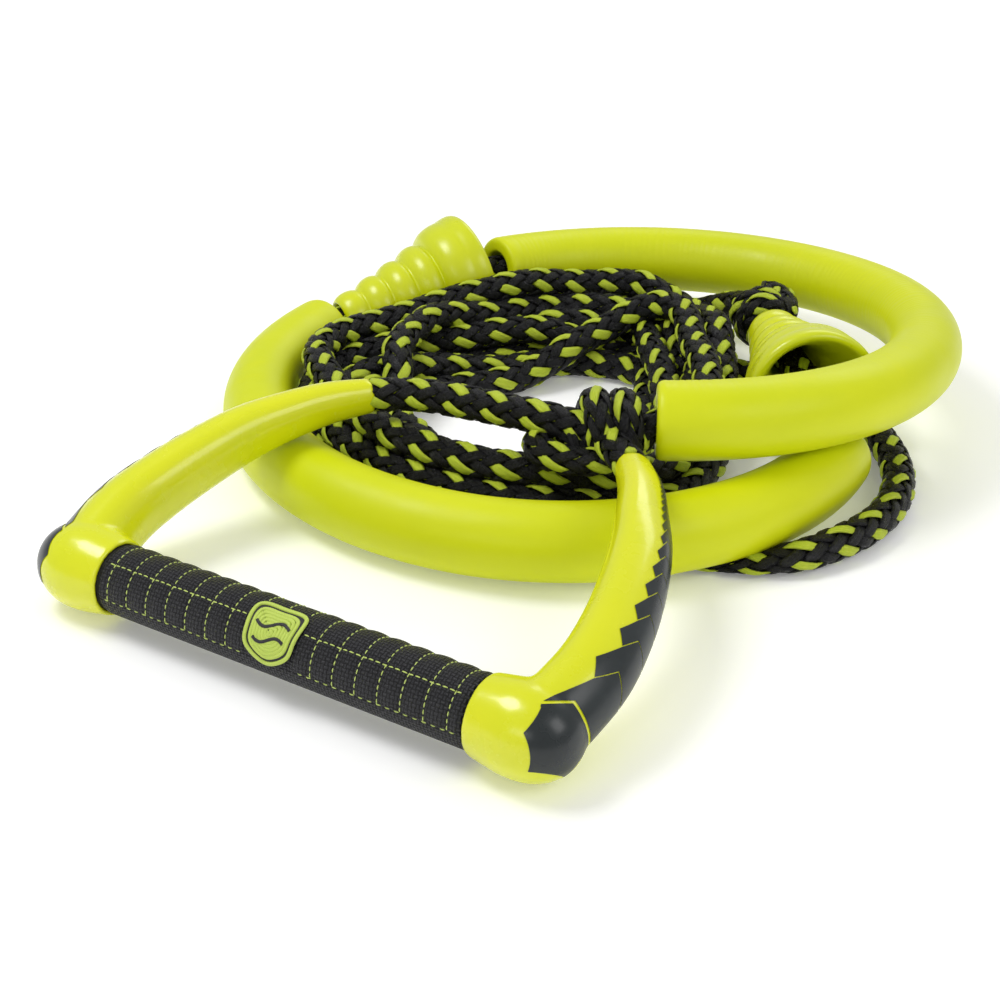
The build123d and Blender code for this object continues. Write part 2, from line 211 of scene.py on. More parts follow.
# ---- materials
class Nodes:
    """Short way to write a material's node tree."""

    def __init__(self, name):
        self.material = bpy.data.materials.new(name)
        self.material.use_nodes = True
        self.tree = self.material.node_tree
        self.shader = self.tree.nodes["Principled BSDF"]
        self.place = self.tree.nodes.new("ShaderNodeTexCoord").outputs["Object"]

    def add(self, kind, **settings):
        node = self.tree.nodes.new(kind)
        for key, value in settings.items():
            if hasattr(node, key):
                setattr(node, key, value)
            else:
                self.put(node.inputs[key], value)
        return node

    def put(self, socket, value):
        if isinstance(value, bpy.types.NodeSocket):
            self.tree.links.new(value, socket)
        else:
            socket.default_value = value

    def math(self, operation, a, b=0.0):
        node = self.add("ShaderNodeMath", operation=operation)
        self.put(node.inputs[0], a)
        self.put(node.inputs[1], b)
        return node.outputs[0]

    def mix(self, share, a, b):
        node = self.add("ShaderNodeMix", data_type="RGBA")
        for slot, value in ((0, share), (6, a), (7, b)):     # factor and the two colours
            self.put(node.inputs[slot], value)
        return node.outputs[2]

    def noise(self, scale, detail=3.0, vector=None, roughness=0.55):
        return self.add("ShaderNodeTexNoise", Scale=scale, Detail=detail, Roughness=roughness,
                        Vector=self.place if vector is None else vector).outputs[0]

    def ramp(self, value, low, high, bottom=0.0, top=1.0):
        node = self.add("ShaderNodeMapRange", clamp=True)
        for socket, v in zip(node.inputs[:5], (value, low, high, bottom, top)):
            self.put(socket, v)
        return node.outputs[0]

    def bump(self, height, strength, distance, normal=None):
        node = self.add("ShaderNodeBump", Height=height, Strength=strength, Distance=distance)
        if normal is not None:
            self.put(node.inputs["Normal"], normal)
        return node.outputs[0]

    def surface(self, **inputs):
        for key, value in inputs.items():
            self.put(self.shader.inputs[key.replace("_", " ")], value)
        return self.material


def shade(colour, factor):
    return tuple(factor * c for c in colour[:3]) + (1,)


LIME = (0.70, 0.75, 0.002, 1)
LIME_DEEP = (0.62, 0.69, 0.002, 1)
LIME_WARM = (0.76, 0.77, 0.003, 1)


def lime_moulded():
    """Glossy soft plastic of the arms."""
    n = Nodes("lime_moulded")
    colour = n.mix(n.ramp(n.noise(14.0, 2.0), 0.35, 0.7), LIME, LIME_WARM)
    return n.surface(Base_Color=colour, Roughness=n.ramp(n.noise(60.0, 4.0), 0.3, 0.8, 0.2, 0.34),
                     Normal=n.bump(n.noise(900.0, 2.0), 0.06, 0.0002),
                     Coat_Weight=0.35, Coat_Roughness=0.12, Subsurface_Weight=0.08,
                     Subsurface_Radius=(0.004, 0.004, 0.001))


def lime_foam():
    """Satin closed-cell foam of the floats."""
    n = Nodes("lime_foam")
    pores = n.noise(1600.0, 3.0, roughness=0.7)
    scuff = n.noise(45.0, 6.0)
    colour = n.mix(n.ramp(n.noise(9.0, 3.0), 0.3, 0.75), LIME_DEEP, LIME)
    colour = n.mix(n.ramp(scuff, 0.58, 0.75, 0.0, 0.25), colour, LIME_WARM)
    return n.surface(Base_Color=colour, Roughness=n.ramp(scuff, 0.3, 0.75, 0.36, 0.52),
                     Normal=n.bump(pores, 0.12, 0.0003, n.bump(n.noise(120.0, 3.0), 0.1, 0.0006)),
                     Subsurface_Weight=0.1, Subsurface_Radius=(0.005, 0.005, 0.001),
                     Specular_IOR_Level=0.35)


def cone_foam():
    """Smoother skin than the floats."""
    n = Nodes("cone_foam")
    colour = n.mix(n.ramp(n.noise(12.0, 3.0), 0.3, 0.72), LIME_DEEP, LIME)
    return n.surface(Base_Color=colour, Roughness=n.ramp(n.noise(50.0, 4.0), 0.3, 0.75, 0.24, 0.38),
                     Normal=n.bump(n.noise(1500.0, 3.0), 0.08, 0.0002),
                     Coat_Weight=0.25, Coat_Roughness=0.2, Subsurface_Weight=0.1,
                     Subsurface_Radius=(0.005, 0.005, 0.001))


def yarn(name, dark, light, rough_low, rough_high, shine):
    """Glossy filament yarn: fine fibres run along each strand and catch small glints."""
    n = Nodes(name)
    lay = n.add("ShaderNodeAttribute", attribute_name="fibre")
    stretch = n.add("ShaderNodeMapping", Vector=lay.outputs["Vector"], Scale=(0.3, 7.0, 1.0))
    fibres = n.noise(1.0, 4.0, stretch.outputs[0], 0.7)
    glints = n.noise(1500.0, 2.0)
    rough = n.math("MULTIPLY", n.ramp(fibres, 0.3, 0.7, rough_low, rough_high),
                   n.ramp(n.noise(420.0, 3.0), 0.35, 0.65, 0.8, 1.5))
    return n.surface(Base_Color=n.mix(n.ramp(fibres, 0.42, 0.75), dark, light), Roughness=rough,
                     Normal=n.bump(fibres, 0.9, 0.0012, n.bump(glints, 0.5, 0.0005)),
                     Specular_IOR_Level=shine)


def plain_dark(name, colour, rough):
    """Grainy dull surface of the pieces inside the grip and the rope."""
    n = Nodes(name)
    grain = n.noise(700.0, 3.0)
    tone = n.mix(n.ramp(grain, 0.3, 0.7), colour, shade(colour, 0.6))
    return n.surface(Base_Color=tone, Roughness=n.ramp(grain, 0.3, 0.7, rough, rough + 0.15),
                     Normal=n.bump(grain, 0.2, 0.0003))


def aluminium():
    n = Nodes("aluminium")
    grain = n.noise(500.0, 4.0)
    tone = n.mix(grain, (0.70, 0.71, 0.72, 1), (0.82, 0.83, 0.84, 1))
    return n.surface(Base_Color=tone, Roughness=n.ramp(grain, 0.3, 0.7, 0.25, 0.4),
                     Normal=n.bump(grain, 0.1, 0.0002), Metallic=1.0)


WEAVE = 1.75             # one yarn of the grip's basket weave


def grip_fabric():
    """Coarse basket weave laid out round the bar's axis."""
    n = Nodes("grip_fabric")
    split = n.add("ShaderNodeSeparateXYZ", Vector=n.place)
    y, z = [n.math("SUBTRACT", split.outputs[i], float(BAR_MID[i] * MM)) for i in (1, 2)]
    across = n.math("MULTIPLY", n.math("ARCTAN2", z, y), COVER_R / WEAVE)
    along = n.math("MULTIPLY", split.outputs[0], 1 / (MM * WEAVE))
    waves = [n.math("SINE", n.math("MULTIPLY", v, math.pi)) for v in (along, across)]
    over = n.ramp(n.math("MULTIPLY", *waves), -0.12, 0.12)
    warp, weft = [n.math("ABSOLUTE", wave) for wave in waves]
    lift = n.math("ADD", n.math("MULTIPLY", over, weft),
                  n.math("MULTIPLY", n.math("SUBTRACT", 1.0, over), warp))
    height = n.math("ADD", lift, n.math("MULTIPLY", n.noise(3500.0, 3.0), 0.3))
    # The colour follows the weave's height: painted shade, darker where the yarns dip between each
    # other, and lighter on the raised yarns.
    tone = n.mix(n.ramp(height, 0.25, 1.15), (0.0005, 0.0005, 0.0007, 1), (0.016, 0.016, 0.020, 1))
    return n.surface(Base_Color=tone, Roughness=n.ramp(height, 0.2, 1.1, 0.8, 0.36),
                     Normal=n.bump(height, 0.9, 0.0009), Specular_IOR_Level=0.4)


def thread(name, colour):
    """Twisted sewing or embroidery thread."""
    n = Nodes(name)
    twist = n.add("ShaderNodeTexWave", bands_direction="DIAGONAL", Vector=n.place,
                  Scale=900.0).outputs[1]
    # The colour darkens in the twist's grooves: painted shade between the plies.
    return n.surface(Base_Color=n.mix(twist, shade(colour, 0.7), colour),
                     Roughness=n.ramp(twist, 0, 1, 0.6, 0.45), Normal=n.bump(twist, 0.4, 0.0002))


def film(name, colour):
    """Satin printed film."""
    n = Nodes(name)
    cloud = n.noise(40.0, 4.0)
    return n.surface(Base_Color=n.mix(n.ramp(cloud, 0.35, 0.7), colour, shade(colour, 1.7)),
                     Roughness=n.ramp(cloud, 0.3, 0.7, 0.22, 0.34),
                     Normal=n.bump(n.noise(1200.0), 0.04, 0.0002))


M = {
    "arm": lime_moulded(), "foam": lime_foam(), "cone": cone_foam(), "fabric": grip_fabric(),
    "black": yarn("rope_black", (0.0006, 0.0006, 0.0009, 1), (0.007, 0.007, 0.011, 1),
                  0.14, 0.4, 0.32),
    "lime": yarn("rope_lime", (0.52, 0.66, 0.02, 1), (0.78, 0.86, 0.09, 1), 0.3, 0.5, 0.4),
    "core": plain_dark("rope_core", (0.004, 0.004, 0.004, 1), 0.7),
    "stitch": thread("lime_thread", (0.66, 0.80, 0.20, 1)),
    "patch": thread("patch_thread", (0.62, 0.78, 0.12, 1)),
    "twine": thread("black_twine", (0.02, 0.02, 0.02, 1)),
    "film": film("decal_film", (0.012, 0.016, 0.017, 1)),
    "metal": aluminium(),
    "bushing": plain_dark("bushing_plastic", (0.02, 0.02, 0.022, 1), 0.4),
    "inner": plain_dark("inner_foam", (0.03, 0.03, 0.032, 1), 0.6),
    "line": plain_dark("core_line", (0.35, 0.37, 0.38, 1), 0.5),
}
for node, key in [("bar_tube", "metal"), ("end_bushing_left", "bushing"),
                  ("end_bushing_right", "bushing"), ("grip_foam", "inner"),
                  ("handle_line", "line")]:
    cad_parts[node].data.materials.clear()
    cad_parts[node].data.materials.append(M[key])


# ---- camera, light and floor
FLOOR_HALF = 6.0
FLOOR_DROP = 0.0004      # keeps the floor clear of what lies on it
LAMPS = [                # name, place, width, height, watts
    ("key", (-0.45, -0.35, 1.05), 0.5, 0.4, 6.0),
    ("fill", (0.95, -0.15, 0.75), 0.5, 0.5, 2.2),
    ("back", (0.0, 1.1, 0.9), 1.1, 0.4, 3.6),
    ("front", (0.15, -1.2, 0.55), 0.7, 0.25, 1.0)]
LAMP_TARGET = (0, 0, 0.02)


def place_camera():
    scene = bpy.context.scene
    camera = bpy.data.objects.new("camera", bpy.data.cameras.new("camera"))
    camera.location = (0.446, -0.708, 0.4134)
    camera.rotation_euler = (math.radians(62.4), 0, math.radians(33.1))
    camera.data.lens, camera.data.sensor_width = 63.6, 36
    scene.collection.objects.link(camera)
    scene.camera = camera
    scene.view_settings.view_transform = "Standard"


def place_lights():
    scene = bpy.context.scene
    world = bpy.data.worlds.new("studio")
    world.use_nodes = True
    sky = world.node_tree.nodes["Background"].inputs
    sky["Color"].default_value, sky["Strength"].default_value = (1, 1, 1, 1), 0.5
    scene.world = world
    for name, place, wide, high, watts in LAMPS:
        lamp = bpy.data.lights.new(name, "AREA")
        lamp.shape = "RECTANGLE"
        lamp.size, lamp.size_y, lamp.energy = wide, high, watts
        obj = bpy.data.objects.new(name, lamp)
        obj.location = place
        aim = Vector(LAMP_TARGET) - Vector(place)
        obj.rotation_euler = aim.to_track_quat("-Z", "Y").to_euler()
        scene.collection.objects.link(obj)


def lay_floor():
    """Pale floor; the lamps fall off, so it glows a little more far from the object."""
    mesh = bpy.data.meshes.new("floor")
    corners = [(x * FLOOR_HALF, y * FLOOR_HALF, 0) for x, y in ((-1, -1), (1, -1), (1, 1), (-1, 1))]
    mesh.from_pydata(corners, [], [(0, 1, 2, 3)])
    stage = bpy.data.objects.new("floor", mesh)
    stage.location.z = -FLOOR_DROP
    bpy.context.scene.collection.objects.link(stage)
    n = Nodes("floor")
    distance = n.add("ShaderNodeVectorMath", operation="LENGTH")
    n.put(distance.inputs[0], n.place)
    mesh.materials.append(n.surface(
        Base_Color=(0.96, 0.96, 0.96, 1), Roughness=0.7, Emission_Color=(1, 1, 1, 1),
        Emission_Strength=n.ramp(distance.outputs["Value"], 0.5, 1.4, 0.16, 0.6)))


place_camera()
place_lights()
lay_floor()


# ---- rope
CARRIERS = 8             # strands each way
PITCH = 88.0             # one turn of a strand
HALF_WIDE, HALF_THICK = 2.75, 1.0     # of a strand
BRAID_LIFT = 1.1         # how far a strand rises and dips
LIME_LIFT = 0.5          # the lime strands stand a little prouder
STRAND_RING = [(1.0, 0.0), (0.55, 0.85), (-0.55, 0.85), (-1.0, 0.0), (0.0, -0.8)]
CORE_SIDES = 12
CORE_INSET = 0.4


def rope_line(name, points):
    """Points of the smooth NURBS line that a rope follows, read from Blender, in mm."""
    curve = bpy.data.curves.new(name, "CURVE")
    curve.dimensions = "3D"
    spline = curve.splines.new("NURBS")
    spline.points.add(len(points) - 1)
    for point, place in zip(spline.points, points):
        point.co = (*[float(c) * MM for c in place], 1)
    spline.order_u = 3
    spline.use_endpoint_u = True
    spline.resolution_u = 12
    obj = bpy.data.objects.new(name, curve)
    mesh = bpy.data.meshes.new_from_object(obj)
    line = np.array([v.co for v in mesh.vertices], float) / MM
    bpy.data.objects.remove(obj)
    bpy.data.curves.remove(curve)
    bpy.data.meshes.remove(mesh)
    return line


def wobble(at, seed):
    """Slow unevenness along a rope, between about -1 and 1."""
    return (np.sin(at / 23.0 + seed) + np.sin(at / 9.7 + 2.1 * seed)
            + np.sin(at / 47.0 + 3.3 * seed)) / 3


def braid_radius(scale):
    """Mean distance of the strands' middles from the rope's own line."""
    return (ROPE_D / 2 - BRAID_LIFT - HALF_THICK) * scale


def strand_rings(lay, scale, hand, k, lime, seed):
    """Rings of one flat strand as it goes over and under the strands of the other hand."""
    path, at, side, over = lay
    lap = at / PITCH / scale
    turn = 2 * k * math.pi / CARRIERS + hand * FULL_TURN * lap + 0.05 * wobble(at, seed + k)
    phase = 2 * k + hand * 2 * CARRIERS * lap - 0.5
    rise = hand * np.clip(1.3 * np.cos(math.pi * phase / 2), -1, 1)
    radius = (braid_radius(scale) + BRAID_LIFT * scale * rise + 0.22 * wobble(at, seed + 5 * k)
              + LIME_LIFT * scale * lime)
    out = np.cos(turn)[:, None] * side + np.sin(turn)[:, None] * over
    centre = path + out * radius[:, None]
    across = unit(np.cross(out, unit(np.gradient(centre, axis=0))))
    shown = 0.62 + 0.38 * np.clip(0.5 + 0.75 * rise, 0, 1)     # narrower where it dives
    wide = (HALF_WIDE * scale * shown)[:, None]
    thick = HALF_THICK * scale
    return np.stack([centre + across * (wide * a) + out * (thick * b) for a, b in STRAND_RING], 1)


def braid(line, diameter=ROPE_D, seed=0.0, step=2.3):
    """Braided rope along a line: 16 flat strands, four of them lime, over a dark core."""
    path, at = resample(line, step)
    lay = (path, at, *transport(path))
    scale = diameter / ROPE_D
    sides, count = len(STRAND_RING), len(at)
    verts, faces, index, fibre, base = [], [], [], [], 0
    for hand in (1, -1):
        for k in range(CARRIERS):
            lime = hand > 0 and k % 2 == 0
            verts.append(strand_rings(lay, scale, hand, k, lime, seed).reshape(-1, 3))
            quads = grid_faces(count, sides, start=base)
            first, last = base + np.arange(sides)[::-1], base + (count - 1) * sides + np.arange(sides)
            faces += list(map(tuple, quads)) + [tuple(first), tuple(last)]
            index += [int(lime)] * (len(quads) + 2)
            # where each point lies along, across and through the yarn, shifted strand by strand
            fibre.append(np.stack([np.repeat(at + 37 * k, sides),
                                   np.tile([a for a, b in STRAND_RING], count) + 3 * k,
                                   np.full(count * sides, seed)], -1))
            base += count * sides
    core, core_faces = closed_tube(path, braid_radius(scale) - CORE_INSET * scale, CORE_SIDES)
    verts.append(core)
    faces += [tuple(base + np.array(f)) for f in core_faces]
    index += [2] * len(core_faces)
    fibre.append(np.zeros((len(core), 3)))
    return np.vstack(verts), faces, index, np.vstack(fibre), path


def press_rope(verts, path):
    """Flatten a rope where its line lies lower than its radius, as under a float."""
    tree = KDTree(len(path))
    for i, p in enumerate(path):
        tree.insert(p, i)
    tree.balance()
    which = np.array([tree.find(v)[1] for v in verts])
    high = np.clip(path[:, 2] / (ROPE_D / 2), 0.35, 1)[which]
    offset = verts - path[which]
    offset[:, 2] *= high
    offset[:, :2] *= (1 + 0.7 * (1 - high))[:, None]
    return path[which] + offset


def make_rope(name, points=None, line=None, nodes=(), seed=0.0, pressed=False, **options):
    """One braided rope piece; returns it and the points that it follows, in metres."""
    if line is None:
        line = rope_line(name, points)
    verts, faces, index, fibre, path = braid(line, seed=seed, **options)
    if pressed:
        verts = press_rope(verts, path)
    obj = new_mesh(name, verts, faces, [M["black"], M["lime"], M["core"]], index,
                   slot="black_rope")
    found = obj.data.attributes.new("fibre", "FLOAT_VECTOR", "POINT")
    found.data.foreach_set("vector", np.asarray(fibre, np.float32).ravel())
    if nodes:
        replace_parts(obj, *nodes)
    return obj, path * MM


# ---- layout shared with the frame
def ring_frame(centre, normal):
    z = unit(normal)
    x = unit(np.cross([0, 1, 0], z))
    return np.array(centre, float), x, np.cross(z, x)


def ring_points(ring, radius, degrees):
    centre, x, y = ring
    turn = np.radians(np.atleast_1d(degrees))[:, None]
    return centre + radius * (np.cos(turn) * x + np.sin(turn) * y)


def ring_heading(ring, degrees):
    _, x, y = ring
    turn = math.radians(degrees)
    return y * math.cos(turn) - x * math.sin(turn)


FLOAT_R, BORE_R = 19.0, 10.5
UPPER_R, UPPER_START, UPPER_END = 146.0, 299.5, 518.5
LOWER_LEFT_R, LOWER_RIGHT_R = 173.0, 147.5
LOWER_START, LOWER_JOIN, LOWER_END = 181.0, 280.0, 370.0
LOWER_SLOPE, LOWER_HEIGHT = 0.006, 19.3
LINE_INSET = 3.5         # degrees from a float's end to where its line is picked up
CONE_GAP = 6.5

upper_ring = ring_frame((25, 89, 50), (-0.042, 0.072, 1))
lower_normal = (-LOWER_SLOPE, 0, 1)
left_ring = ring_frame((1.5, 53, LOWER_HEIGHT + LOWER_SLOPE * LOWER_LEFT_R), lower_normal)
join = ring_points(left_ring, LOWER_LEFT_R - LOWER_RIGHT_R, LOWER_JOIN)[0]
right_ring = ring_frame(join, lower_normal)

upper_flange = np.array([-128, 140.5, 38.0])
lower_flange = np.array([125, 84, 36.0])
lower_neck = np.array([66, 156, 35.0])
left_inside = ring_points(left_ring, LOWER_LEFT_R, LOWER_START + LINE_INSET)[0]
left_heading = ring_heading(left_ring, LOWER_START + LINE_INSET)
upper_bend = left_inside - left_heading * 18
upper_axis = unit(upper_bend - upper_flange)
upper_neck = upper_bend - upper_axis * CONE_GAP
lower_axis = unit(lower_neck - lower_flange)
knot_axis = ring_heading(upper_ring, UPPER_START)
knot_at = np.array([70, -54, 59.0])
stop_knot_at = lower_neck + lower_axis * 24


# ---- floats
FLOAT_AROUND = 80
RIM_LONG = 4.2           # the rounded rim ends here, and the plain tube begins
RIM = [(26, BORE_R), (12, BORE_R), (2.0, BORE_R), (0.5, BORE_R + 0.35), (0.0, BORE_R + 1.4),
       (0.0, 13.5), (0.05, 15.5), (0.3, 17.0), (0.9, 18.0), (1.9, 18.65), (3.2, 18.92)]
DENT_START, DENT_END = np.array([80.0, -67.0]), np.array([162.0, -49.0])
DENT_DEEP = 7.9


def wrinkles(at, angle, strength):
    """Fine creases round a bent foam tube, deepest on the inside of its bend."""
    beat = at / 1.15 + 1.3 * np.sin(at / 7.0) + 0.8 * np.sin(at / 3.1 + 2 * np.cos(angle))
    crease = np.abs(np.sin(beat)) ** 0.6 - 0.6
    side = np.clip(np.cos(angle - 0.6) * 0.9 + 0.35, 0, 1) ** 1.5
    patch = 0.35 + 0.65 * (0.5 + 0.5 * np.sin(at / 41.0 + 1.0)) * (
        0.6 + 0.4 * np.sin(at / 17.0))
    return strength * crease * side * patch


def foam_float(name, path, body, node, strength, dent=None):
    """Hollow foam tube with softly rounded rims, its bore left open for the rope."""
    path, at = resample(path, 0.85)
    side, over = transport(path)
    long = at[-1]
    middle = at[(at > RIM_LONG) & (at < long - RIM_LONG)]
    along = np.r_[[a for a, r in RIM], middle, [long - a for a, r in RIM[::-1]]]
    radius = np.r_[[r for a, r in RIM], np.full(len(middle), FLOAT_R), [r for a, r in RIM[::-1]]]
    centre, side, over = [along_line(v, at, along)[:, None] for v in (path, side, over)]
    grid_at, turn = np.meshgrid(along, full_circle(FLOAT_AROUND), indexing="ij")
    r = np.repeat(radius[:, None], FLOAT_AROUND, 1)
    outside = np.clip((r - 18) / 0.9, 0, 1)
    r = r + outside * (wrinkles(grid_at, turn, strength)
                       + 0.12 * np.sin(grid_at / 31 + 2 * np.cos(turn)))
    r = np.minimum(r, FLOAT_R + 0.25)[..., None]
    turn = turn[..., None]
    verts = (centre + r * np.cos(turn) * side + r * np.sin(turn) * over).reshape(-1, 3)
    if dent:
        verts = dent(verts)
    first = np.arange(FLOAT_AROUND)
    plugs = [first[::-1], len(verts) - FLOAT_AROUND + first]     # deep in the bore
    obj = new_mesh(name, verts, list(grid_faces(len(along), FLOAT_AROUND)) + plugs, [M["foam"]],
                   slot="lime_foam", body=body)
    face_outward(obj)
    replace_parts(obj, node)
    return path


def pressed_dent(verts):
    """The lower float sits on the rope that runs out beneath it."""
    direction = unit(DENT_END - DENT_START)
    offset = verts[:, :2] - DENT_START
    across = np.abs(offset[:, 0] * direction[1] - offset[:, 1] * direction[0])
    run = offset @ direction
    lift = DENT_DEEP * np.clip((25 - across) / 11, 0, 1)
    lift = np.where((run > -15) & (run < 100), lift * (2 - lift / DENT_DEEP), 0)
    out = verts.copy()
    out[:, 2] = np.maximum(out[:, 2], lift)
    return out


upper_path = foam_float(
    "upper_float_foam", ring_points(upper_ring, UPPER_R, np.linspace(UPPER_START, UPPER_END, 300)),
    "upper_float", "float_upper", 0.28)
lower_path = foam_float(
    "lower_float_foam", np.vstack([
        ring_points(left_ring, LOWER_LEFT_R, np.linspace(LOWER_START, LOWER_JOIN, 200))[:-1],
        ring_points(right_ring, LOWER_RIGHT_R, np.linspace(LOWER_JOIN, LOWER_END, 170))]),
    "lower_float", "float_lower", 0.03, pressed_dent)


# ---- cones
RIB_NOTCHES = [(0.012, 12.4), (0.17, 13.2), (0.34, 16.4), (0.51, 20.0), (0.68, 24.0)]
RIB_PROUD = 1.9
BELL = [(25.6, 0.687), (28.0, 0.703), (30.0, 0.725), (31.5, 0.752), (32.6, 0.785), (33.3, 0.82),
        (33.6, 0.85), (33.5, 0.868), (33.9, 0.886), (34.5, 0.91), (34.9, 0.94), (34.9, 0.965),
        (34.3, 0.985), (33.0, 0.997), (31.4, 1.0), (30.2, 0.994)]


def cone_profile(long):
    """Closed outline (radius, along) of a ribbed cone, narrow end first."""
    out = [(10.2, 0.0), (11.4, 0.0), (12.2, 0.5)]
    for (low, low_r), (high, high_r) in zip(RIB_NOTCHES, RIB_NOTCHES[1:]):
        proud = max(low_r, high_r) + RIB_PROUD - 0.5 * (low_r + high_r)
        for t in np.linspace(0, 1, 13)[1:]:
            base = low_r + (high_r - low_r) * t
            out.append((base + proud * math.sin(math.pi * t) ** 0.6,
                        (low + (high - low) * t) * long))
    out += [(r, a * long) for r, a in BELL]
    out += [(29.6 - 15.6 * t ** 0.8, long - 2 - 36 * t) for t in np.linspace(0, 1, 14)[1:]]
    return out + [(12.0, long - 48), (10.2, long - 58), (10.2, long - 70)]


def ribbed_cone(name, neck, flange, body, node):
    """Bell-mouthed foam cone with rounded ribs."""
    long = float(np.linalg.norm(flange - neck))
    verts, faces = lathe(cone_profile(long), neck, flange - neck, 128, loop=True)
    obj = new_mesh(name, verts, faces, [M["cone"]], slot="lime_foam", body=body)
    face_outward(obj)
    smooth = obj.modifiers.new("round", "SUBSURF")
    smooth.levels = smooth.render_levels = 1
    apply_modifiers(obj)
    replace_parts(obj, node)


ribbed_cone("upper_cone_foam", upper_neck, upper_flange, "upper_cone", "cone_upper")
ribbed_cone("lower_cone_foam", lower_neck, lower_flange, "lower_cone", "cone_lower")


# ---- handle arms
# stations of the right arm from the bar's middle: x, y, height and radius
ARM = [(121, 0, 20, 17.5), (125, 30, 29.5, 16.8), (122.5, 54, 36, 16), (116.5, 78, 42.5, 15.2),
       (108.5, 100, 48.5, 14), (98.5, 119, 52.5, 12.4), (87.5, 138, 55, 10.8),
       (73.5, 156, 56, 8.8)]
BOSS = [(0.01, 140), (4.5, 139.6), (9, 138.2), (12.6, 135.6), (15.6, 132), (18, 127.6),
        (19.5, 122.5), (20, 117.5), (19.7, 111), (18.8, 105), (17.9, 100), (17.5, 97.2),
        (17.0, 96.0), (15.6, 96.0), (15.2, 97), (15.2, 117), (0.01, 118)]
VOXEL = 0.0011
WELD = 0.00005


def arm_section(turn):
    """Rounded section with a soft ridge along its top and its inner side."""
    return (1 + 0.035 * np.cos(3 * (turn - 1.45)) + 0.02 * np.cos(2 * (turn - 1.45))) * 0.975


def arm_mesh(name):
    """Arm and boss joined into one smooth moulding, for the right side."""
    smooth = smooth_through([(BAR_MID[0] + x, BAR_MID[1] + y, z, r) for x, y, z, r in ARM])
    path, radii = smooth[:, :3], smooth[:, 3]
    path = np.vstack([path[0] + [-8, -9, -1.5], path])     # starts inside the boss
    arm = closed_tube(path, np.r_[15.5, radii], 48, arm_section)
    verts, faces = gather([arm, lathe(BOSS, BAR_MID, (1, 0, 0), 64)])
    obj = new_mesh(name, verts, faces, [M["arm"]], slot="lime_moulded")
    face_outward(obj, WELD)
    remesh = obj.modifiers.new("join", "REMESH")
    remesh.mode, remesh.voxel_size = "VOXEL", VOXEL
    soften = obj.modifiers.new("soften", "SMOOTH")
    soften.factor, soften.iterations = 0.5, 14
    apply_modifiers(obj)
    return obj


def mirror_object(obj, name):
    """The same mesh on the other side of the grip's middle."""
    verts = np.zeros(len(obj.data.vertices) * 3)
    obj.data.vertices.foreach_get("co", verts)
    verts = verts.reshape(-1, 3) / MM
    verts[:, 0] = 2 * BAR_MID[0] - verts[:, 0]
    faces = [tuple(reversed(p.vertices)) for p in obj.data.polygons]
    return new_mesh(name, verts, faces, list(obj.data.materials), slot=obj.get("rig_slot"))


arm_right = arm_mesh("moulded_arm_right")
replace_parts(arm_right, "arm_right")
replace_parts(mirror_object(arm_right, "moulded_arm_left"), "arm_left")


# ---- arm decals
PRINT_TILT = math.radians(30)     # the print's middle, above the arm's outer side
PRINT_END = 168.0
FIRST_STEP, FIRST_LONG = 13.0, 19.0
SHORTER = 0.88           # each segment against the one before
FILM_LIFT = 0.3
RAY_OUT, RAY_LONG = 60, 75
BEFORE_ARM = np.array([0.12, 1.0, 0.28])      # the print's heading on the boss
HEXAGON = [(-17, -4), (-11.5, 10), (1.5, 13.5), (12.0, 5.0), (9, -13), (-6, -16)]

arm_bm = bmesh.new()
arm_bm.from_mesh(arm_right.data)
arm_tree = BVHTree.FromBMesh(arm_bm)
arm_bm.free()
arm_line = smooth_through([(BAR_MID[0] + x, BAR_MID[1] + y, z) for x, y, z, _ in ARM])
arm_line, arm_at = resample(arm_line, 1.0)


def on_arm(along, height):
    """Point on the right arm's outer side: distance along the arm, height across the print."""
    a = min(max(along, 0.0), arm_at[-1] - 2)
    here, ahead = along_line(arm_line, arm_at, [a, a + 2])
    ahead = unit(BEFORE_ARM if along < 0 else ahead - here)
    here = here + ahead * min(along, 0.0)
    out = unit(np.cross(ahead, UP))
    over = np.cross(out, ahead)
    facing = math.cos(PRINT_TILT) * out + math.sin(PRINT_TILT) * over
    across = math.cos(PRINT_TILT) * over - math.sin(PRINT_TILT) * out
    start = Vector(here + across * height + facing * RAY_OUT) * MM
    hit, normal, _, _ = arm_tree.ray_cast(start, Vector(-facing), RAY_LONG * MM)
    return None if hit is None else np.array(hit + normal * FILM_LIFT * MM) / MM


def decal_piece(outline, step=1.1):
    """Flat outline (along, height), cut into a grid and laid on the arm as a thin film."""
    outline = np.array(outline, float)
    low, high = outline.min(0), outline.max(0)
    bm = bmesh.new()
    bm.faces.new([bm.verts.new((a, h, 0)) for a, h in outline])
    for axis in (0, 1):
        for cut in np.arange(low[axis] + step, high[axis], step):
            normal = np.eye(3)[axis]
            bmesh.ops.bisect_plane(bm, geom=bm.verts[:] + bm.edges[:] + bm.faces[:],
                                   plane_co=normal * cut, plane_no=normal)
    verts, keep = [], {}
    for v in bm.verts:
        place = on_arm(v.co.x, v.co.y)
        if place is not None:
            keep[v] = len(verts)
            verts.append(place)
    faces = [[keep[v] for v in f.verts] for f in bm.faces if all(v in keep for v in f.verts)]
    bm.free()
    return verts, faces


def half_print(along):
    """Half height of the print: it narrows towards the arm's tip."""
    radius = np.interp(along, arm_at, np.linspace(17.5, 8.8, len(arm_at)))
    return 0.74 * radius * (1 - (max(along, 0) / PRINT_END) ** 1.2)


def divider(along, long):
    """Pointed end of a segment: top corner, notch, peak and the foot below it."""
    top = half_print(along)
    drop = min(0.26 * long, 0.45 * top)
    return [(along, top), (along - 0.4 * long, top - drop),
            (along + 0.12 * long, top - 2.3 * drop), (along - 0.25 * long, -top - 3)]


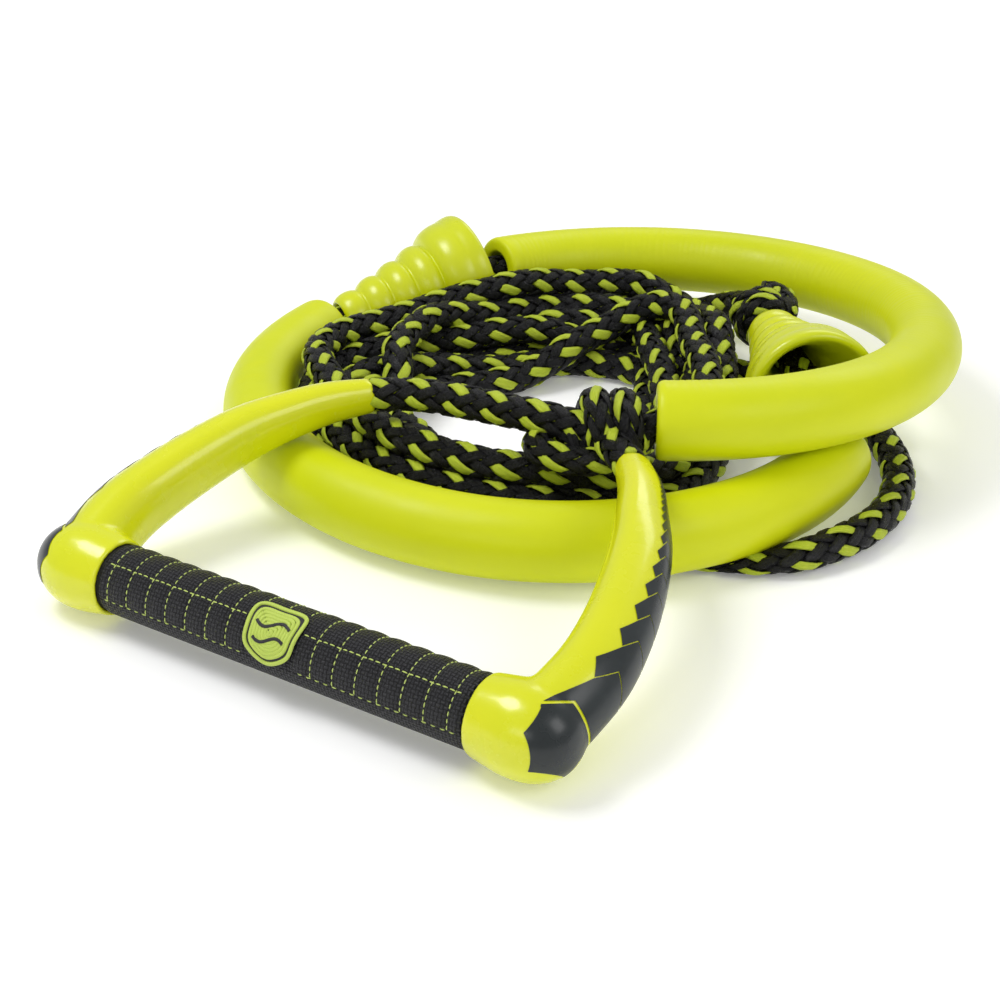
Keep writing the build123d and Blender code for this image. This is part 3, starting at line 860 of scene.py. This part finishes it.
def segment(start, end, gap=0.5):
    """One stepped segment between two dividers; the first one follows the hexagon's edge."""
    far_side = divider(end, SHORTER * (end - start))[1:]
    if start == FIRST_STEP:
        return [(3.2, 13.6)] + far_side + [(10.4, -13.5), (13.4, 5.2)]
    near_side = [(a + gap, h + 0.3 * gap) for a, h in divider(start, end - start)]
    return near_side[:1] + far_side + near_side[:0:-1]


def build_decals():
    """Print on both arms: a hexagon on the boss, then segments, each shorter than the last."""
    places, long = [FIRST_STEP], FIRST_LONG
    while places[-1] + long < PRINT_END - 6:
        places.append(places[-1] + long)
        long *= SHORTER
    shapes = [HEXAGON] + [segment(a, b) for a, b in zip(places, places[1:])]
    verts, faces = gather([decal_piece(shape) for shape in shapes])
    right = new_mesh("arm_print_right", verts, faces, [M["film"]], slot="decal_black")
    left = mirror_object(right, "arm_print_left")
    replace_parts(right, "arm_decal_right")
    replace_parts(left, "arm_decal_left")


build_decals()


# ---- grip
GRIP_HALF = 96.0
SEAMS = [-90 + 11.2 * i for i in range(17)]
LOWER_LINE, UPPER_LINE, BOTTOM_SEAM = math.radians(-6), math.radians(56), math.radians(-64)
QUILT_END, QUILT_START = math.radians(215), math.radians(354)


def cover_radius(x, angle):
    """Quilted fabric: rounded panels between the seams, plain below them."""
    x = np.asarray(x, float)
    nearest = np.min(np.abs(x[..., None] - np.array(SEAMS)), -1)
    quilt = (1 - (1 - np.clip(nearest / 5.6, 0, 1)) ** 2.2) * 0.9 - 0.45
    whole = angle % FULL_TURN
    signed = (angle + math.pi) % FULL_TURN - math.pi
    top = np.clip((signed - LOWER_LINE) / 0.12, 0, 1) * np.clip((QUILT_END - whole) / 0.2, 0, 1)
    top = np.where(whole > QUILT_END, np.clip((whole - QUILT_START) / 0.12, 0, 1), top)
    lines = sum(np.exp(-((signed - line) * COVER_R / 0.8) ** 2)
                for line in (LOWER_LINE, UPPER_LINE, BOTTOM_SEAM))
    fade = np.clip((GRIP_HALF - np.abs(x)) / 3.0, 0, 1)
    flat = np.clip((14.2 - np.abs(x)) / 1.0, 0, 1) * np.exp(
        -((signed - math.radians(125)) / 0.7) ** 4)
    return COVER_R - 0.35 + fade * (quilt * top * (1 - 0.8 * flat) - 0.3 * lines) \
        - 0.8 * (1 - fade) ** 2


def round_bar(x, angle, radius):
    """Point round the bar; angle 0 is the side nearest the user, 90 degrees the top."""
    return np.stack([BAR_MID[0] + x, BAR_MID[1] - radius * np.cos(angle),
                     BAR_MID[2] + radius * np.sin(angle)], -1)


def on_cover(x, angle, lift=0.0):
    x, angle = np.broadcast_arrays(np.asarray(x, float), np.asarray(angle, float))
    return round_bar(x, angle, cover_radius(x, angle) + lift)


def build_cover():
    around = 150
    x, turn = np.meshgrid(np.linspace(-GRIP_HALF, GRIP_HALF, 385), full_circle(around),
                          indexing="ij")
    obj = new_mesh("grip_fabric_cover", on_cover(x, turn).reshape(-1, 3),
                   grid_faces(len(x), around)[:, ::-1], [M["fabric"]], slot="grip_fabric")
    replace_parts(obj, "grip_cover")


def stitch_row(points, length, gap, width):
    """Stitches along a line of points: short rounded threads that dip at both ends."""
    line, at = resample(np.asarray(points, float), 0.25)
    rise = np.sin(np.linspace(0, math.pi, 7))
    tubes, start = [], gap / 2
    while start + length < at[-1]:
        path = along_line(line, at, np.linspace(start, start + length, 7))
        sink = np.zeros_like(path)
        sink[:, 1:] = BAR_MID[1:] - path[:, 1:]
        path = path + unit(sink) * (0.3 - 0.42 * rise)[:, None]
        tubes.append(closed_tube(path, width * (0.55 + 0.45 * rise), 6))
        start += length + gap
    return gather(tubes)


def build_stitches():
    """Seams round the grip, two along it, and loose thread ends along the bottom seam."""
    rows = []                     # line, then a stitch's length, gap and width
    for x in SEAMS:
        start = math.radians(92) if abs(x) < 13.5 else LOWER_LINE      # clear of the badge
        turn = np.linspace(start, math.radians(196), 60)
        rows.append((on_cover(np.full(60, x), turn), 2.6, 0.35, 0.3))
    x = np.linspace(-GRIP_HALF + 3, GRIP_HALF - 3, 200)
    for line, gap in ((LOWER_LINE, 1.5), (UPPER_LINE, 0.4)):
        for part in (x[x < -13.8], x[x > 13.8]):
            rows.append((on_cover(part, np.full(len(part), line)), 2.9, gap, 0.32))
    for i, place in enumerate(np.arange(-GRIP_HALF + 4, GRIP_HALF - 3, 5.6)):
        lean = 0.9 * math.sin(2.3 * i) * np.linspace(0, 1, 6)
        turn = np.linspace(BOTTOM_SEAM - 0.07, BOTTOM_SEAM + 0.1, 6)
        rows.append((on_cover(place + lean, turn, 0.25), 1.9, 0.3, 0.3))
    verts, faces = gather([stitch_row(*row) for row in rows])
    new_mesh("grip_stitching", verts, faces, [M["stitch"]], slot="badge")


build_cover()
build_stitches()


# ---- badge
BADGE_MID = math.radians(40)
BADGE_RISE = 0.35        # over the cover's mean radius
BADGE_OUTLINE = smooth_closed([(-12.5, 11.5), (0, 12.6), (12.5, 11.5), (13, 0), (10.8, -8),
                               (0, -13.2), (-10.8, -8), (-13, 0)])
BAND = [(-1, -0.4), (-0.85, 0.25), (-0.4, 0.5), (0.4, 0.5), (0.85, 0.25), (1, -0.4)]


def on_badge(x, angle, lift):
    return round_bar(x, angle, COVER_R + BADGE_RISE + lift)


def badge_outline(share):
    """The badge's outline as (x, angle), shrunk towards its middle."""
    return np.array([(x * share, BADGE_MID + v * share / COVER_R) for x, v in BADGE_OUTLINE])


def badge_strip(points, width, lift, close=False):
    """Raised satin-stitched band on the badge, along (x, angle) points."""
    if close:
        points = np.vstack([points, points[:1]])
    flat = np.stack([points[:, 0], points[:, 1] * COVER_R, np.zeros(len(points))], -1)
    flat, at = resample(flat, 0.5)
    ahead = unit(np.gradient(flat, axis=0))
    across = np.stack([-ahead[:, 1], ahead[:, 0], np.zeros(len(flat))], -1)
    ripple = 0.05 * np.sin(at * 7.0)
    verts = []
    for a, b in BAND:
        place = flat + across * (a * width / 2)
        verts.append(on_badge(place[:, 0], place[:, 1] / COVER_R, lift + b * 0.8 + ripple))
    return np.stack(verts, 1).reshape(-1, 3), grid_faces(len(flat), len(BAND), wrap=False)


def build_badge():
    """Embroidered shield: lime border and field, a dark line inside it, two plain waves."""
    grid = np.stack([badge_outline(share) for share in np.linspace(0, 1, 12)], 0)
    verts = on_badge(grid[..., 0], grid[..., 1], 0.2).reshape(-1, 3)
    new_mesh("badge_cloth", verts, grid_faces(12, len(BADGE_OUTLINE)), [M["twine"]], slot="badge")
    bands = [badge_strip(badge_outline(0.95), 1.8, 0.55, close=True)]
    bands += [badge_strip(badge_outline(share), 1.75, 0.42, close=True)
              for share in np.linspace(0.06, 0.74, 7)]
    threads = new_mesh("badge_threads", *gather(bands), [M["patch"]], slot="badge")
    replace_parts(threads, "grip_badge")
    waves = []
    for rise, share in ((3.4, 1.0), (-2.8, 0.9)):
        x = np.linspace(-8.6, 8.6, 40) * share
        wave = BADGE_MID + (rise + 1.6 * np.sin(x / 2.7)) / COVER_R
        waves.append(badge_strip(np.stack([x, wave], -1), 1.5, 0.75))
    new_mesh("badge_waves", *gather(waves), [M["twine"]], slot="badge")


build_badge()


# ---- bridle and knots
KNOT_ROPE_D = 15.0       # pulled tight, so a little thinner
left_tip = np.array([-41.5, -76, 56.0])
right_tip = np.array([105.5, -76, 56.0])


def knot_points(places, at, axis):
    """Points placed along, beside and over a knot's axis."""
    across = unit(np.cross(axis, UP))
    over = np.cross(across, axis)
    return [at + axis * along + across * side + over * up for along, side, up in places]


def wraps(first, last, radius, start, high=1.0, turns=2.0):
    """Places of a rope wound round a knot's axis."""
    t = np.linspace(0, 1, int(turns * 12) + 1)
    turn = start + t * turns * FULL_TURN
    return [(first + (last - first) * a, radius * math.cos(b), high * radius * math.sin(b))
            for a, b in zip(t, turn)]


bridle = make_rope("bridle_rope", [
    left_tip, left_tip + [11.2, 8.4, 0.5], (-10, -62.5, 57.4), (16, -61, 58.4), (36, -61, 60),
    (54, -60, 60), (70, -56, 58), (86, -60, 57), right_tip + [-9.6, 7.2, 0.5], right_tip],
    nodes=("bridle_leg_left", "bridle_leg_right"), seed=1.0)
front_knot, _ = make_rope("bridle_knot_rope", knot_points(
    [(36, -1, 1), (28, 2, 4)] + wraps(20.5, -5.5, 11.8, -0.6, 1.02)
    + [(-12, -8, -4), (-21, -6, -8), (-26, 3, -9.5), (-21, 11.5, -10), (-9, 16, -10.5),
       (5, 15.5, -11), (17, 12, -9), (24, 4, -5)], knot_at, knot_axis),
    nodes=("bridle_knot",), seed=2.0, diameter=KNOT_ROPE_D)
stop_knot, _ = make_rope("stop_knot_rope", knot_points(
    [(-20, 0, 0), (-16, 4, 4)] + wraps(-13, 10, 10.6, 0.8)
    + [(15, 5, 9), (8, 13, 8), (-6, 14, 7), (-15, 9, 5)], stop_knot_at, lower_axis),
    nodes=("stop_knot",), seed=4.0, diameter=KNOT_ROPE_D)


# ---- rope in the cones and floats
back_end = ring_points(upper_ring, UPPER_R, UPPER_END)[0]
back_heading = ring_heading(upper_ring, UPPER_END)
make_rope("rope_in_upper_cone", [
    back_end - back_heading * 12, back_end, back_end + back_heading * 16,
    upper_flange + upper_axis * 30, upper_flange + upper_axis * 60, upper_bend,
    left_inside, left_inside + left_heading * 10],
    nodes=("line_upper_cone",), seed=5.0)

right_inside = ring_points(right_ring, LOWER_RIGHT_R, LOWER_END - LINE_INSET)[0]
right_heading = ring_heading(right_ring, LOWER_END - LINE_INSET)
make_rope("rope_in_lower_cone", [
    right_inside - right_heading * 8, right_inside, right_inside + right_heading * 20,
    (139, 83, 29), lower_flange + lower_axis * 28, lower_neck - lower_axis * 20,
    lower_neck + lower_axis * 12],
    nodes=("line_lower_cone",), seed=6.0)


def rope_in_float(name, path, first, last, node, seed):
    """The rope that a float is strung on, on the float's own line."""
    line, at = resample(path, 5.0)
    line = line[(at >= first) & (at <= at[-1] - last)]
    make_rope(name, line=line, nodes=(node,), seed=seed, step=3.2)


rope_in_float("rope_in_upper_float", upper_path, 0.0, 10.0, "line_in_upper_float", 12.0)
rope_in_float("rope_in_lower_float", lower_path, 18.0, 18.0, "line_in_lower_float", 13.0)


# ---- loose coil
# places round the coil: middle of the outermost and of the innermost strand, counterclockwise
OUTER = [(-140, 12), (-124, -26), (-94, -54), (-48, -79), (10, -88), (68, -75), (96, -42),
         (102, 10), (84, 55), (52, 104), (30, 140), (8, 182), (-38, 182), (-70, 160), (-84, 114),
         (-124, 60)]
INNER = [(-94, -2), (-90, -24), (-70, -46), (-40, -58), (8, -64), (50, -52), (66, -22), (60, 20),
         (44, 56), (24, 92), (12, 120), (2, 132), (-22, 124), (-44, 96), (-62, 62), (-82, 30)]
STATIONS = len(OUTER)


def coil_point(step, lane, height):
    """Point at a (fractional) place round the coil; lane 0 is innermost, 1 outermost."""
    i = int(math.floor(step))
    t = step - i
    mix = [np.array(ring[i % STATIONS]) * (1 - t) + np.array(ring[(i + 1) % STATIONS]) * t
           for ring in (INNER, OUTER)]
    plan = mix[0] + (mix[1] - mix[0]) * lane
    return np.array([plan[0], plan[1], height])


def wound(start, end, lanes, heights):
    """Route points for every half station, from (step, lane) and (step, height) keys."""
    lanes, heights = np.array(lanes, float).T, np.array(heights, float).T
    return [coil_point(s, float(np.interp(s, *lanes)), float(np.interp(s, *heights)))
            for s in np.arange(start, end + 0.01, 0.5)]


# first run: from the stop knot's tail, three and a half turns, out under the lower float
run_a = [stop_knot_at, stop_knot_at + lower_axis * 27 - [0, 0, 2], (12, 206, 22), (-10, 198, 14),
         (-26, 184, 12)]
run_a += wound(13.0, 68.6,
               [(13, 0.55), (16, 0.4), (20, 0.1), (28, 0.1), (32, 0.35), (36, 0.6), (44, 0.75),
                (46.6, 0.95), (48.2, -0.12), (50, 0.0), (52, 0.2), (58, 0.3), (62, 0.7),
                (68.6, 1.0)],
               [(13, 10), (20, 8.5), (28, 8.5), (32, 22), (36, 9), (44, 24), (46, 40),
                (47.6, 46), (48.2, 34), (49, 12), (52, 9), (58, 24), (62, 12), (68.6, 8.5)])
run_a += [(74, -70, 8.5)]
# second run: in from the outer loop, three turns, and out at the back
run_b = [(40, 140, 8.5), (24, 128, 8.5)]
run_b += wound(12.0, 58.6,
               [(12, 0.3), (16, 0.95), (20, 0.95), (27, 1.0), (32, 1.12), (33, 1.1), (34, 0.8),
                (36, 0.7), (42.6, 0.95), (44.3, -0.05), (46, 0.05), (48, 0.3), (52, 0.5),
                (58.6, 0.85)],
               [(12, 12), (16, 24), (20, 24), (24, 28), (27, 44), (29, 50), (30, 52), (32, 46),
                (34, 34), (36, 24), (42, 46), (43.8, 50), (44.4, 36), (45.4, 14), (48, 24),
                (52, 24), (57, 24), (58.6, 14)])
run_b += [(-38, 168, 9), (-39, 174, 8.5)]

SETTLE_ROUNDS = 220
CALM_ROUNDS = 40         # at the end each move is halved, so that the strands come to rest
BEAD_GAP = 9.0           # between neighbouring points of a strand
STRAND_GAP = 15.8        # between strands that touch, a little under the rope's diameter
SINK = 0.12              # drop in each round
HOMING = 0.012           # pull back to the drawn route
STRAND_RADIUS = 8.8      # against the floats, cones and knot
FLOOR_LEVEL = 8.5


def push_apart(p, neighbours):
    """Move points of touching strands away from each other, in place."""
    diff = p[:, None] - p[None]
    away = np.linalg.norm(diff, axis=-1) + 1e-6
    hit = (away < STRAND_GAP) & ~neighbours
    push = np.where(hit, (STRAND_GAP - away) / away, 0)[..., None] * diff
    share = np.maximum(hit.sum(1), 1)[:, None]
    p += 0.5 * push.sum(1) / np.sqrt(share)


def push_out(p, centres, radius):
    """Move points out of a row of balls, in place."""
    diff = p[:, None] - centres[None]
    away = np.linalg.norm(diff, axis=-1)
    nearest = away.argmin(1)
    rows = np.arange(len(p))
    best = away[rows, nearest]
    limit = radius[nearest] + STRAND_RADIUS
    inside = best < limit
    move = diff[rows, nearest] * ((limit - best) / best)[:, None]
    p[inside] += move[inside]


def settle(parts, obstacles, pins):
    """Let strands push apart and drop until they lie on the floor and on each other.
    pins holds how many points stay put at the start and the end of each strand."""
    lines = [resample(rope_line("settle", part), BEAD_GAP)[0] for part in parts]
    owner = np.concatenate([np.full(len(line), i) for i, line in enumerate(lines)])
    order = np.concatenate([np.arange(len(line)) for line in lines])
    neighbours = (owner[:, None] == owner[None]) & (np.abs(order[:, None] - order[None]) <= 3)
    p = np.vstack(lines)
    home = p.copy()
    pinned = np.zeros(len(p), bool)
    for i, (head, tail) in enumerate(pins):
        mine = np.flatnonzero(owner == i)
        pinned[mine[:head]] = True
        pinned[mine[len(mine) - tail:]] = True
    links = np.flatnonzero(owner[1:] == owner[:-1])
    inner = links[np.isin(links + 1, links)]
    for step in range(SETTLE_ROUNDS):
        before = p.copy()
        p[:, 2] -= SINK
        p += HOMING * (home - p) * [1, 1, 0.3]
        p[inner + 1] += 0.18 * (0.5 * (p[inner] + p[inner + 2]) - p[inner + 1])     # stiffness
        d = p[links + 1] - p[links]
        fix = 0.35 * d * (1 - BEAD_GAP / np.linalg.norm(d, axis=1, keepdims=True))
        np.add.at(p, links, fix)
        np.add.at(p, links + 1, -fix)
        for _ in range(3):
            push_apart(p, neighbours)
            for centres, radius in obstacles:
                push_out(p, centres, radius)
            p[:, 2] = np.maximum(p[:, 2], FLOOR_LEVEL)
        p[pinned] = home[pinned]
        if step >= SETTLE_ROUNDS - CALM_ROUNDS:
            p = 0.5 * (p + before)
    return [p[owner == i] for i in range(len(parts))]


def cone_balls(neck, flange):
    t = np.linspace(0, 1, 24)
    radius = np.interp(t, [0, 0.17, 0.35, 0.53, 0.71, 0.84, 1], [13, 14, 16, 20, 24, 27, 30])
    return neck + (flange - neck) * t[:, None], radius


def line_balls(line, radius):
    centres = resample(line, 6)[0]
    return centres, np.full(len(centres), radius)


knot_balls = np.array(knot_points([(a, 0, 0) for a in (-20, -10, 0, 10, 20)], knot_at, knot_axis))
settled = settle(
    [run_a, run_b],
    [line_balls(upper_path, FLOAT_R), line_balls(lower_path, FLOAT_R),
     cone_balls(upper_neck, upper_flange), cone_balls(lower_neck, lower_flange),
     (knot_balls, np.full(len(knot_balls), 15.0)), line_balls(bridle[1] / MM, 8.0)],
    [(7, 2), (2, 2)])
coil_a, coil_b = [np.vstack([p[:-1:2], p[-1:]]) for p in settled]     # every second point

make_rope("coil_rope_first", coil_a, nodes=("coil", "line_tail"), seed=7.0)
second = make_rope("coil_rope_second", coil_b, seed=8.0)

# ---- rope round the outside
make_rope("outer_loop_rope", [
    (68, -72.5, 8.5), (74, -70, 8.5), (97, -59, 4.2), (122, -50, 3.5), (147, -41, 3.6),
    (166, -32, 6.2), (179, -15, 8.5), (188, 14, 8.5), (188, 46, 8.5), (177, 79, 8.5),
    (154, 111, 8.5), (122, 138, 8.5), (86, 152, 8.5), (60, 149, 8.5), (40, 140, 8.5)],
    nodes=("outer_loop",), seed=9.0, pressed=True)

# ---- tow end
EYE_ALONG = np.array([-0.85, -0.527, 0])
EYE_SIDE = np.cross(UP, EYE_ALONG)
EYE_LONG, EYE_HALF = 70, 19
EYE_LOOP = [(0, 0.16), (0.12, 0.7), (0.35, 1), (0.65, 1), (0.88, 0.85), (1, 0.4), (1, -0.4),
            (0.88, -0.85), (0.65, -1), (0.35, -1), (0.12, -0.7), (0, -0.16)]
TWINE_R, TWINE_STEP = 0.85, 1.5
splice_at = np.array([-84, 237, 10.2])

tow = make_rope("tow_rope", [
    (-37, 160, 9), (-39, 174, 8.5), (-43, 190, 8.5), (-50, 208, 8.5), (-62, 224, 8.8),
    splice_at, splice_at + EYE_ALONG * 20], nodes=("tow_line",), seed=10.0)
eye_start = splice_at + EYE_ALONG * 22
eye_near = splice_at + EYE_ALONG * 37.5
eye_rope, _ = make_rope("tow_eye_rope", [
    eye_start + EYE_SIDE * 1.5,
    *[eye_near + EYE_ALONG * (EYE_LONG * a) + EYE_SIDE * (EYE_HALF * s) for a, s in EYE_LOOP],
    eye_start - EYE_SIDE * 1.5], nodes=("tow_eye",), seed=11.0)


def whipping(name, start, heading, long, radius):
    """Tight twine turns over the splice."""
    turns = int(long / TWINE_STEP)
    t = np.linspace(0, 1, turns * 20)
    turn = FULL_TURN * turns * t
    path = start + heading * (long * t)[:, None] \
        + radius * (np.cos(turn)[:, None] * EYE_SIDE + np.sin(turn)[:, None] * UP)
    obj = new_mesh(name, *closed_tube(path, TWINE_R, 6), [M["twine"]], slot="whipping")
    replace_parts(obj, "eye_splice")
    return obj


splice_cover = whipping("splice_whipping", splice_at + EYE_ALONG * 3, EYE_ALONG, 32, 9.3)
